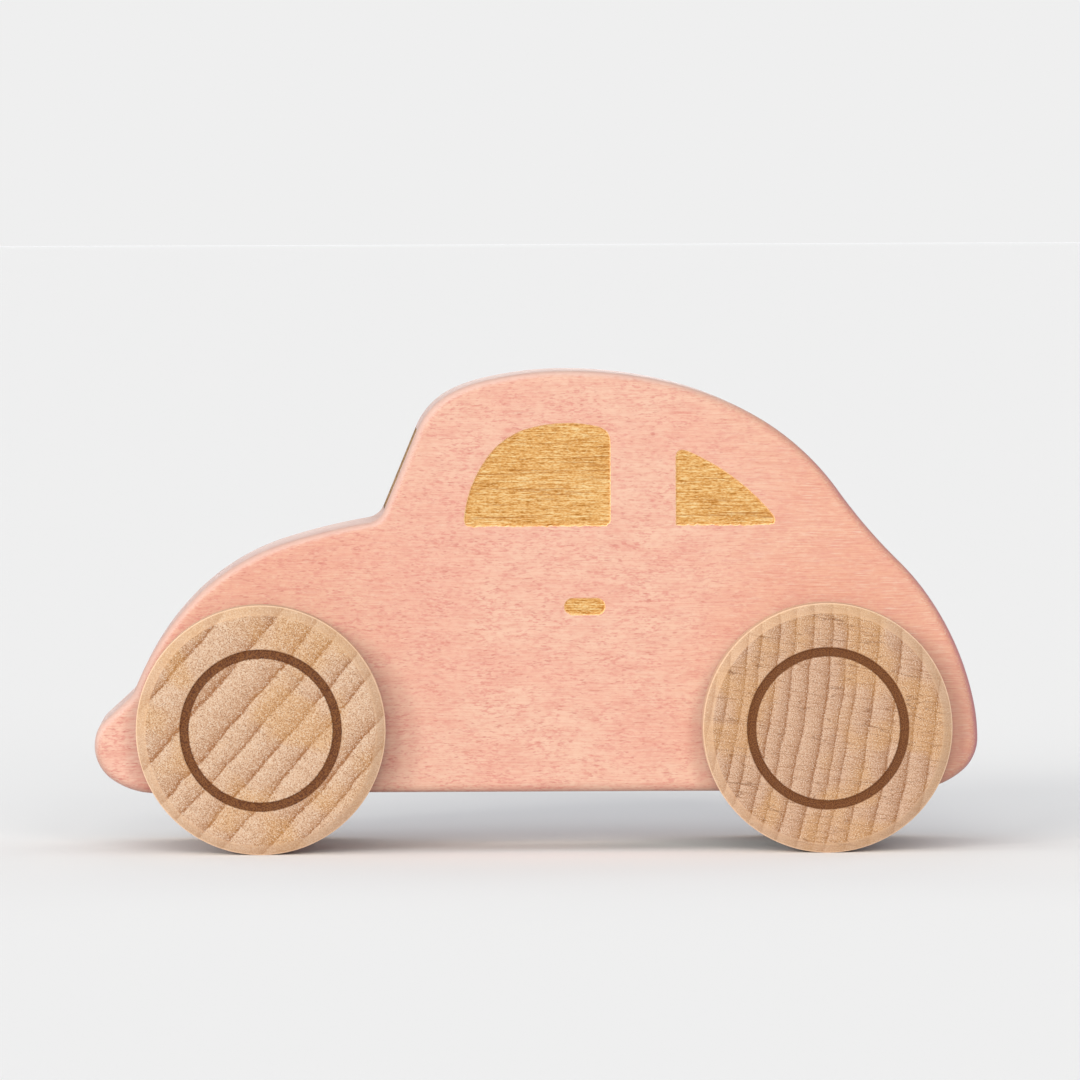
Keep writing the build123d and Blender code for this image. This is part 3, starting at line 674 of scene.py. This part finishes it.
# ---- materials ----
class Shader:
    """One material and short ways to add and join its nodes."""

    def __init__(self, name):
        self.material = bpy.data.materials.new(name)
        self.material.use_nodes = True
        self.tree = self.material.node_tree
        self.surface = self.tree.nodes["Principled BSDF"]

    def node(self, kind, **settings):
        made = self.tree.nodes.new(kind)
        for name, value in settings.items():
            setattr(made, name, value)
        return made

    def feed(self, socket, value):
        if isinstance(value, bpy.types.NodeSocket):
            self.tree.links.new(value, socket)
        elif value is not None:
            socket.default_value = value

    def set(self, name, value):
        self.feed(self.surface.inputs[name], value)

    def place(self):
        """Object coordinates in millimetres."""
        return self.vector("SCALE", self.node("ShaderNodeTexCoord").outputs["Object"], scale=1 / MM)

    def vector(self, operation, first, second=None, scale=None):
        made = self.node("ShaderNodeVectorMath", operation=operation)
        self.feed(made.inputs[0], first)
        self.feed(made.inputs[1], second)
        self.feed(made.inputs[3], scale)
        single = operation in ("DOT_PRODUCT", "LENGTH")
        return made.outputs["Value" if single else "Vector"]

    def math(self, operation, first, second=None):
        made = self.node("ShaderNodeMath", operation=operation)
        for socket, value in zip(made.inputs, (first, second)):
            self.feed(socket, value)
        return made.outputs[0]

    def plus(self, first, second):
        return self.math("ADD", first, second)

    def times(self, first, second):
        return self.math("MULTIPLY", first, second)

    def parts(self, vector):
        made = self.node("ShaderNodeSeparateXYZ")
        self.feed(made.inputs[0], vector)
        return made.outputs

    def join(self, x, y, z):
        made = self.node("ShaderNodeCombineXYZ")
        for socket, value in zip(made.inputs, (x, y, z)):
            self.feed(socket, value)
        return made.outputs[0]

    def noise(self, where, stretched=(1, 1, 1), detail=2.0, roughness=0.5, shift=(0, 0, 0)):
        """Noise whose spots measure about one unit divided by each number of stretched."""
        moved = self.vector("ADD", self.vector("MULTIPLY", where, stretched), shift)
        made = self.node("ShaderNodeTexNoise")
        self.feed(made.inputs["Vector"], moved)
        for name, value in (("Scale", 1.0), ("Detail", detail), ("Roughness", roughness)):
            made.inputs[name].default_value = value
        return made.outputs["Fac"]

    def between(self, value, low, high, to_low=0.0, to_high=1.0, smooth=True):
        """Maps value from low..high to to_low..to_high and holds it outside."""
        made = self.node("ShaderNodeMapRange", interpolation_type="SMOOTHSTEP" if smooth else "LINEAR")
        for socket, entry in zip(made.inputs, (value, low, high, to_low, to_high)):
            self.feed(socket, entry)
        return made.outputs[0]

    def mix(self, share, first, second):
        made = self.node("ShaderNodeMix", data_type="RGBA")
        self.feed(made.inputs[0], share)
        self.feed(made.inputs[6], first)
        self.feed(made.inputs[7], second)
        return made.outputs[2]

    def ramp(self, value, stops):
        made = self.node("ShaderNodeValToRGB")
        self.feed(made.inputs[0], value)
        elements = made.color_ramp.elements
        while len(elements) < len(stops):
            elements.new(0.5)
        for element, (position, shade) in zip(elements, stops):
            element.position = position
            element.color = shade
        return made.outputs[0]

    def curve(self, value, points):
        """Value read from a curve of straight pieces; the points run from 0 to 1."""
        made = self.node("ShaderNodeFloatCurve")
        self.feed(made.inputs["Value"], value)
        line = made.mapping.curves[0]
        while len(line.points) < len(points):
            line.points.new(0.5, 0.5)
        for handle, place in zip(line.points, points):
            handle.location = place
            handle.handle_type = "VECTOR"
        made.mapping.update()
        return made.outputs[0]

    def bump(self, height, distance, strength):
        """Bump of a height map whose full range is distance millimetres."""
        made = self.node("ShaderNodeBump")
        made.inputs["Strength"].default_value = strength
        made.inputs["Distance"].default_value = distance * MM
        self.feed(made.inputs["Height"], height)
        self.set("Normal", made.outputs[0])


# The rounded edges turn away from the lights, so their paint is given as it is, not as it shows on the side.
# The first colour below is pale rubbed wear together with a painted highlight; the second is stain drunk by
# the end grain together with painted shade.
RUBBED_EDGE_AND_HIGHLIGHT = (0.50, 0.36, 0.34, 1.0)
RIM_STAIN_AND_SHADE = (0.33, 0.13, 0.15, 1.0)


def pink_wood():
    """Stained beech: a blotchy stain, short darker flecks and fine fibres, all along the car."""
    s = Shader("stained_beech")
    place = s.place()
    drift = s.noise(place, (0.05, 0.05, 0.05), 2, shift=(3, 1, 7))
    bent = s.vector("ADD", place, s.join(0, 0, s.between(drift, 0.3, 0.7, -0.3, 0.3, smooth=False)))
    blotch = s.noise(bent, (0.05, 0.08, 0.10), 3, 0.55)
    cloud = s.noise(bent, (0.20, 0.5, 0.5), 3, 0.6, (11, 4, 2))
    mottle = s.noise(bent, (0.9, 1.9, 1.9), 2, 0.6, (2, 9, 5))
    fleck = s.noise(bent, (1.15, 3.3, 3.3), 2, 0.55, (31, 2, 15))
    fleck_places = s.noise(bent, (0.22, 0.34, 0.34), 2, 0.5, (8, 8, 1))
    dark_fleck = s.noise(bent, (1.0, 4.2, 4.2), 1, 0.5, (14, 3, 3))
    fibre = s.noise(bent, (0.16, 5.5, 5.5), 3, 0.6, (5, 5, 5))
    glint = s.noise(bent, (0.26, 7.5, 7.5), 1, 0.5, (1, 6, 12))
    x = s.parts(place)[0]
    tail = s.between(x, 12, 50)
    calm = s.math("SUBTRACT", 1.0, s.times(tail, 0.65))

    base = s.mix(s.between(blotch, 0.38, 0.62), colour(248, 190, 165), colour(250, 202, 175))
    base = s.mix(s.times(tail, 0.45), base, colour(247, 186, 152))
    ends = s.math("MAXIMUM", s.between(x, -14, -34), s.between(x, 22, 48))
    base = s.mix(s.times(ends, 0.45), base, colour(243, 171, 142))
    # Painted light: the bumper at the nose is painted paler to make up for the shade that the front wheel and
    # the rounded underside put on it.
    base = s.mix(s.between(x, -56.5, -59.5, 0, 0.75), base, colour(255, 208, 186))
    base = s.mix(s.between(cloud, 0.44, 0.66, 0, 0.45), base, colour(241, 174, 153))
    base = s.mix(s.between(mottle, 0.50, 0.70, 0, 0.45), base, colour(237, 162, 144))
    base = s.mix(s.between(mottle, 0.32, 0.46, 0.35, 0), base, colour(252, 209, 182))
    flecks = s.times(s.between(fleck, 0.46, 0.70), s.between(fleck_places, 0.36, 0.62, 0.20, 0.75))
    base = s.mix(s.times(flecks, calm), base, colour(229, 146, 131))
    dark_flecks = s.times(s.between(dark_fleck, 0.60, 0.78, 0, 0.55), calm)
    base = s.mix(dark_flecks, base, colour(205, 115, 104))
    dark_fibres = s.times(s.between(fibre, 0.48, 0.66), s.between(tail, 0, 1, 0.28, 0.48))
    base = s.mix(dark_fibres, base, colour(228, 148, 124))
    base = s.mix(s.between(fibre, 0.34, 0.48, 0.25, 0), base, colour(252, 211, 186))
    more_at_tail = s.plus(0.10, s.times(tail, 0.40))
    glints = s.times(s.between(glint, 0.58, 0.74), more_at_tail)
    base = s.mix(glints, base, colour(255, 230, 208))

    # The rounded edge at the tail has drunk more stain and looks serrated, and it is painted darker as shade
    # where it faces away from the lights; the one on top is rubbed pale and painted paler as a highlight
    # where it faces up and towards the nose.
    # The broad faces between the two sides show both only faintly.
    normal = s.parts(s.node("ShaderNodeTexCoord").outputs["Normal"])
    pores = s.noise(place, (1.2, 7, 7), 2, 0.6, (1, 2, 3))
    uneven = s.between(pores, 0.3, 0.7, -0.14, 0.14, smooth=False)
    on_rounding = s.between(s.math("ABSOLUTE", normal[1]), 0.03, 0.25)
    # Painted shade: roundings that face the tail, away from the lights, are painted dark rose, on top of the
    # stain the end grain drinks.
    rear_rim_stain_and_shade = s.between(s.plus(normal[0], s.times(uneven, 1.8)), 0.45, 0.85, 0, 0.9)
    rear_rim_stain_and_shade = s.times(rear_rim_stain_and_shade, s.between(on_rounding, 0, 1, 0.15, 1))
    base = s.mix(rear_rim_stain_and_shade, base, RIM_STAIN_AND_SHADE)
    # Painted highlight: roundings that face up and towards the nose, where the broad upper light stands, are
    # painted paler, on top of real rubbing.
    worn_and_highlight = s.plus(s.math("SUBTRACT", normal[2], s.times(normal[0], 0.8)), uneven)
    worn_and_highlight = s.times(s.between(worn_and_highlight, 0.25, 0.75, 0, 0.6), s.between(on_rounding, 0, 1, 0.25, 1))
    base = s.mix(worn_and_highlight, base, RUBBED_EDGE_AND_HIGHLIGHT)
    s.set("Base Color", base)
    s.set("Roughness", s.between(cloud, 0.3, 0.7, 0.54, 0.64, smooth=False))
    s.surface.inputs["Specular IOR Level"].default_value = 0.25
    s.surface.inputs["Sheen Weight"].default_value = 0.22
    s.surface.inputs["Sheen Roughness"].default_value = 0.35
    s.surface.inputs["Sheen Tint"].default_value = (0.90, 0.88, 1.0, 1.0)
    height = s.plus(s.times(fibre, 0.6), s.times(mottle, 0.4))
    s.bump(height, 0.04, 0.5)
    return s.material


def engraved_wood():
    """Bare wood that a laser has scorched: golden, with fine dark streaks along the grain."""
    s = Shader("engraved_wood")
    place = s.place()
    band = s.noise(place, (0.04, 0.9, 0.9), 2, 0.6, (1, 3, 8))
    line = s.noise(place, (0.22, 4.2, 4.2), 1, 0.6, (4, 0, 1))
    streak = s.noise(place, (0.75, 4.6, 4.6), 2, 0.6, (9, 3, 1))
    speck = s.noise(place, (2.2, 5.5, 5.5), 1, 0.5, (2, 2, 9))
    cloud = s.noise(place, (0.15, 0.3, 0.3), 2, 0.5, (7, 7, 7))
    tone = s.plus(s.times(band, 0.10), s.times(line, 0.40))
    tone = s.plus(tone, s.times(streak, 0.50))
    tone = s.plus(tone, s.between(cloud, 0.3, 0.7, -0.02, 0.02, smooth=False))
    base = s.ramp(tone, [(0.36, matt_colour(176, 114, 46)), (0.44, matt_colour(222, 161, 88)),
                         (0.52, matt_colour(243, 188, 116)), (0.62, matt_colour(255, 222, 162))])
    base = s.mix(s.between(speck, 0.50, 0.68, 0, 0.45), base, matt_colour(180, 116, 46))
    base = s.mix(s.between(speck, 0.32, 0.48, 0.45, 0), base, matt_colour(255, 222, 164))
    thin_line = s.noise(place, (0.10, 4.4, 4.4), 1, 0.5, (3, 8, 5))
    base = s.mix(s.between(thin_line, 0.60, 0.70, 0, 0.5), base, matt_colour(164, 92, 30))
    s.set("Base Color", base)
    s.set("Roughness", 0.7)
    s.surface.inputs["Specular IOR Level"].default_value = 0.05
    s.bump(tone, 0.12, 0.7)
    return s.material


# The steep sides hardly face the lights, so their colours are also given as they are.
WALL_BROWNED = (0.72, 0.36, 0.15, 1.0)
WALL_PALE = (0.93, 0.72, 0.44, 1.0)


def scorched_wall():
    """The steep sides of the engravings: bare wood, browned in places by the laser."""
    s = Shader("scorched_wall")
    place = s.place()
    scorch = s.noise(place, (1.5, 4, 4), 3, 0.6)
    s.set("Base Color", s.mix(s.between(scorch, 0.38, 0.62), WALL_BROWNED, WALL_PALE))
    s.set("Roughness", 0.75)
    s.bump(scorch, 0.05, 0.6)
    return s.material


def charred_wood():
    """The rim of the windscreen, which cuts across the fibres and is burned dark."""
    s = Shader("charred_wood")
    char = s.noise(s.place(), (1.5, 3, 3), 3, 0.6)
    s.set("Base Color", s.mix(s.between(char, 0.35, 0.65), colour(142, 112, 84), colour(190, 158, 124)))
    s.set("Roughness", 0.7)
    s.bump(char, 0.05, 0.6)
    return s.material


def raw_wood():
    """Milled bare beech inside the pocket and the bore."""
    s = Shader("milled_beech")
    place = s.place()
    streak = s.noise(place, (0.12, 1.6, 1.6), 3, 0.6)
    pore = s.noise(place, (0.9, 6, 6), 2, 0.6, (3, 4, 5))
    marks = s.node("ShaderNodeTexWave", wave_type="BANDS", bands_direction="Z")
    s.feed(marks.inputs["Vector"], place)
    marks.inputs["Scale"].default_value = 0.55
    marks.inputs["Distortion"].default_value = 0.6
    base = s.ramp(streak, [(0.3, colour(206, 160, 118)), (0.7, colour(232, 196, 158))])
    base = s.mix(s.between(pore, 0.58, 0.72, 0, 0.5), base, colour(160, 110, 72))
    s.set("Base Color", base)
    s.set("Roughness", 0.7)
    s.bump(marks.outputs["Fac"], 0.05, 0.5)
    return s.material


def ring_points(ends, shape, half):
    """Curve points that repeat shape, a list of (share of the ring, value), from ring end to ring end."""
    points = []
    for start, end in zip(ends, ends[1:]):
        for share, value in shape:
            place = (start + (end - start) * share + half) / (2 * half)
            if 0 < place < 1:
                points.append((place, value))
    return [(0.0, points[0][1])] + points + [(1.0, points[-1][1])]


# How far the growth rings are followed past the wheel
RING_MARGIN = 1.5
# Bare wood of the turned bevel and the tread, given as it is; the tread's colour also carries painted light
# that lifts the tread where it turns away from the lights
TURNED_EDGE = (0.52, 0.35, 0.24, 1.0)
TREAD_PALE_AND_PAINTED_LIGHT = (0.70, 0.50, 0.37, 1.0)
# How dark the wood is from the start of a growth ring to its end
RING_SHAPE = [(0.02, 0.0), (0.3, 0.10), (0.65, 0.34), (0.88, 0.60), (0.95, 1.0), (0.985, 1.0)]


def wheel_wood(node):
    """End grain of a turned wheel: growth rings, rays and pores, a burned ring, long grain on the tread."""
    s = Shader("beech_" + node)
    grain = GRAIN[node]
    low, high = box_mm(node)
    centre = (low + high) / 2
    wheel_radius = (high.z - low.z) / 2
    half = wheel_radius + RING_MARGIN
    outer_y = low.y if centre.y < 0 else high.y
    seed = (sum(ord(letter) for letter in node) % 13) * 7.0
    shift = (seed, seed / 2, 3)

    place = s.vector("SUBTRACT", s.place(), (centre.x, 0, centre.z))
    flat = s.vector("MULTIPLY", place, (1, 0, 1))
    fibre_place = s.vector("MULTIPLY", place, (1, 0.05, 1))
    angle = math.radians(grain["angle"])
    onward = (math.cos(angle), 0, math.sin(angle))
    sideways = (-math.sin(angle), 0, math.cos(angle))

    sway = grain["sway"]
    slow = s.between(s.noise(fibre_place, (0.16, 0.16, 0.16), 1, 0.5, shift), 0, 1, -sway, sway, smooth=False)
    jag = s.between(s.noise(fibre_place, (1.6, 1.6, 1.6), 2, 0.6, shift), 0, 1, -0.20, 0.20, smooth=False)
    to_pith = s.vector("ADD", flat, tuple(grain["pith"] * part for part in onward))
    distance = s.math("SUBTRACT", s.vector("LENGTH", to_pith), float(grain["pith"]))
    distance = s.plus(distance, s.plus(slow, jag))
    share = s.math("DIVIDE", s.plus(distance, half), 2 * half)
    rings = s.curve(share, ring_points(grain["ring_ends"], RING_SHAPE, half))

    along_ring = s.vector("DOT_PRODUCT", flat, sideways)
    ray_place = s.join(s.times(distance, 0.16), s.times(along_ring, 3.4), seed)
    rays = s.noise(ray_place, (1, 1, 1), 3, 0.6)
    bold_place = s.join(s.times(distance, 0.09), s.times(along_ring, 0.85), seed + 3)
    bold = s.noise(bold_place, (1, 1, 1), 1, 0.4)
    bold_line = s.between(s.math("ABSOLUTE", s.math("SUBTRACT", bold, 0.5)), 0, 0.013, 1, 0)
    speck = s.noise(fibre_place, (6.2, 6.2, 6.2), 1, 0.5, shift)
    pore = s.noise(fibre_place, (5.2, 5.2, 5.2), 0, 0.5, (shift[1], 2, shift[0]))
    patch = s.noise(fibre_place, (0.10, 0.10, 0.10), 2, 0.5, (seed, 9, 4))
    tone = grain["tone"]

    pale = matt_colour(240 - 12 * tone, 203 - 16 * tone, 170 - 14 * tone)
    deep = matt_colour(174 - 16 * tone, 118 - 14 * tone, 76 - 10 * tone)
    base = s.mix(rings, pale, deep)
    base = s.mix(s.between(patch, 0.48, 0.62, 0, 0.45), base, matt_colour(226, 172, 106))
    ray_strength = grain["ray_strength"]
    base = s.mix(s.between(rays, 0.50, 0.68, 0, 0.5 * ray_strength), base, matt_colour(172, 120, 82))
    base = s.mix(s.times(bold_line, 0.6 * ray_strength), base, matt_colour(130, 80, 46))
    base = s.mix(s.between(speck, 0.50, 0.70, 0, 0.55), base, matt_colour(160, 104, 66))
    base = s.mix(s.between(speck, 0.30, 0.48, 0.55, 0), base, matt_colour(255, 234, 212))
    base = s.mix(s.between(pore, 0.68, 0.78, 0, 0.55), base, matt_colour(116, 70, 40))

    # The ring that the laser burned into the outer face
    radius = s.vector("LENGTH", flat)
    behind = s.math("ABSOLUTE", s.math("SUBTRACT", s.parts(place)[1], outer_y))
    on_face = s.between(behind, 0.5, 0.8, 1, 0)
    ragged = s.plus(radius, s.between(speck, 0.3, 0.7, -0.05, 0.05, smooth=False))
    inside = s.between(ragged, RING_INNER - 0.14, RING_INNER + 0.06)
    outside = s.between(ragged, RING_OUTER - 0.06, RING_OUTER + 0.14, 1, 0)
    burned = s.times(s.times(inside, outside), on_face)
    scorch = s.mix(s.between(speck, 0.36, 0.62), matt_colour(92, 48, 18), matt_colour(140, 90, 54))
    base = s.mix(s.times(burned, 0.96), base, scorch)

    # The turned bevel and tread are smoother and paler than the sawn end grain, and the tread is painted
    # paler still, as painted light where it turns away from the lights.
    turned = s.between(s.plus(radius, s.between(speck, 0.3, 0.7, -0.06, 0.06, smooth=False)),
                       wheel_radius - BEVEL - 0.12, wheel_radius - BEVEL + 0.10)
    base = s.mix(s.times(turned, 0.42), base, TURNED_EDGE)
    # Painted light on the tread, over its paler turned wood.
    base = s.mix(s.between(radius, wheel_radius - 0.25, wheel_radius - 0.02, 0, 0.7), base, TREAD_PALE_AND_PAINTED_LIGHT)
    s.surface.inputs["Specular IOR Level"].default_value = 0.05

    s.set("Base Color", base)
    s.set("Roughness", s.between(rings, 0, 1, 0.66, 0.54, smooth=False))
    height = s.math("SUBTRACT", s.times(speck, -0.7), s.times(rays, 0.3))
    s.bump(height, 0.06, 0.6)
    return s.material


def drawn_steel(name, shade, fineness):
    """Drawn or rolled steel with fine lines along the car's width and a few darker stains."""
    s = Shader(name)
    place = s.place()
    lines = s.noise(place, (fineness, 0.25, fineness), 3, 0.6)
    stain = s.noise(place, (0.4, 0.4, 0.4), 3, 0.6, (5, 1, 2))
    base = s.mix(s.between(lines, 0.3, 0.7), shade, tuple(part * 0.72 for part in shade[:3]) + (1.0,))
    s.set("Base Color", s.mix(s.between(stain, 0.55, 0.75, 0, 0.4), base, colour(92, 88, 84)))
    s.set("Metallic", 1.0)
    s.set("Roughness", s.between(stain, 0.3, 0.7, 0.26, 0.44, smooth=False))
    s.bump(lines, 0.02, 0.5)
    return s.material


def moulded_plastic(name, light, dark, roughness, texture):
    """Moulded plastic with a fine eroded texture and slight flow marks."""
    s = Shader(name)
    place = s.place()
    erosion = s.noise(place, (texture, texture, texture), 3, 0.6)
    flow = s.noise(place, (0.15, 0.3, 0.5), 3, 0.6, (6, 2, 4))
    s.set("Base Color", s.mix(s.between(flow, 0.3, 0.7), light, dark))
    s.set("Roughness", s.between(erosion, 0.3, 0.7, roughness - 0.06, roughness + 0.08, smooth=False))
    s.bump(erosion, 0.03, 0.7)
    return s.material


def dress_cad_nodes():
    """Better materials for the CAD nodes that stay visible."""
    steel = drawn_steel("bright_drawn_steel", colour(206, 206, 210), 5.0)
    zinc = drawn_steel("zinc_plated_steel", colour(212, 214, 208), 2.5)
    spring = drawn_steel("blued_spring_steel", colour(112, 118, 138), 7.0)
    brass = drawn_steel("machined_brass", colour(222, 186, 112), 5.0)
    nylon = moulded_plastic("white_nylon", colour(238, 236, 228), colour(226, 222, 212), 0.42, 3.0)
    black = moulded_plastic("black_case_plastic", colour(46, 46, 49), colour(34, 34, 37), 0.48, 4.5)
    acetal = moulded_plastic("gear_acetal", colour(236, 232, 220), colour(222, 216, 202), 0.38, 3.5)
    dressing = {
        steel: ("front_axle", "rear_axle", "drive_arbor", "winding_arbor", "spring_arbor"),
        zinc: ("case_screws", "motor_screws"),
        spring: ("mainspring",),
        brass: ("axle_pinion",),
        nylon: ("front_bush_left", "front_bush_right", "rear_washer_left", "rear_washer_right"),
        black: ("motor_case_left", "motor_case_right"),
        acetal: ("drive_gear", "winding_gear", "spring_gear"),
    }
    for material, names in dressing.items():
        for name in names:
            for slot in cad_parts[name].material_slots:
                slot.material = material


# ---- stage, light and camera ----
FLOOR_HALF_SIZE = 60.0
BACKDROP_HEIGHT = 3.0


def make_stage():
    """Matt floor, and a distant backdrop that glows in the same colour, so that no horizon shows."""
    reach, top = FLOOR_HALF_SIZE / MM, BACKDROP_HEIGHT / MM
    sheets = {
        "floor": [(-reach, -reach, 0), (reach, -reach, 0), (reach, reach, 0), (-reach, reach, 0)],
        "backdrop": [(-reach, reach, 0), (reach, reach, 0), (reach, reach, top), (-reach, reach, top)],
    }
    light = floor_light()
    shades = {
        "floor": ("ShaderNodeBsdfDiffuse", [BACKGROUND[i] / light[i] for i in range(3)]),
        "backdrop": ("ShaderNodeEmission", BACKGROUND[:3]),
    }
    for name, corners in sheets.items():
        kind, shade = shades[name]
        s = Shader("matt_" + name)
        s.tree.nodes.remove(s.surface)
        paper = s.node(kind)
        paper.inputs["Color"].default_value = (*shade, 1.0)
        s.tree.links.new(paper.outputs[0], s.tree.nodes["Material Output"].inputs["Surface"])
        bm = bmesh.new()
        bm.faces.new([bm.verts.new(corner) for corner in corners])
        sheet = mesh_object(name, bm, [s.material])
        sheet.visible_shadow = name == "floor"


def make_light():
    """Even surroundings, and the lights as distant soft sources."""
    world = bpy.data.worlds.new("studio")
    bpy.context.scene.world = world
    world.use_nodes = True
    surroundings = world.node_tree.nodes["Background"]
    surroundings.inputs["Color"].default_value = BACKGROUND
    surroundings.inputs["Strength"].default_value = LIGHT_LEVEL
    for number, (turned, height, spread, on_floor) in enumerate(LIGHTS):
        azimuth, elevation = math.radians(turned), math.radians(height)
        sun = bpy.data.lights.new(f"studio_light_{number}", "SUN")
        sun.energy = LIGHT_LEVEL * on_floor * math.pi / math.sin(elevation)
        sun.color = LIGHT_TINT
        sun.angle = math.radians(spread)
        lamp = bpy.data.objects.new(sun.name, sun)
        towards = Vector((-math.sin(azimuth) * math.cos(elevation), -math.cos(azimuth) * math.cos(elevation),
                          math.sin(elevation)))
        lamp.rotation_mode = "QUATERNION"
        lamp.rotation_quaternion = towards.to_track_quat("Z", "Y")
        bpy.context.scene.collection.objects.link(lamp)


CAMERA_PLACE = Vector((-26.0, -1818.0, 92.0))
CAMERA_YAW = 0.848
CAMERA_PITCH = 1.470
CAMERA_ROLL = -0.213
LENS = 407.96
SENSOR_WIDTH = 36


def make_camera():
    """Long lens, almost level with the car."""
    yaw, pitch, roll = (math.radians(value) for value in (CAMERA_YAW, CAMERA_PITCH, CAMERA_ROLL))
    forward = Vector((math.sin(yaw) * math.cos(pitch), math.cos(yaw) * math.cos(pitch), -math.sin(pitch)))
    level = Vector((math.cos(yaw), -math.sin(yaw), 0))
    upright = level.cross(forward)
    right = math.cos(roll) * level + math.sin(roll) * upright
    up = -math.sin(roll) * level + math.cos(roll) * upright
    camera = bpy.data.cameras.new("camera")
    camera.lens = LENS
    camera.sensor_width = SENSOR_WIDTH
    camera.clip_start = 0.05
    camera.clip_end = 200
    holder = bpy.data.objects.new("camera", camera)
    turned = Matrix((right, up, -forward)).transposed().to_4x4()
    holder.matrix_world = Matrix.Translation(CAMERA_PLACE * MM) @ turned
    bpy.context.scene.collection.objects.link(holder)
    bpy.context.scene.camera = holder


# ---- the scene ----
make_body([pink_wood(), scorched_wall(), engraved_wood(), raw_wood(), charred_wood()])
for wheel_node in GRAIN:
    axle_set = "front_axle_set" if wheel_node.startswith("front") else "rear_axle_set"
    make_wheel(wheel_node, axle_set, wheel_wood(wheel_node))
dress_cad_nodes()
make_stage()
make_light()
make_camera()
bpy.context.scene.view_settings.view_transform = "Standard"
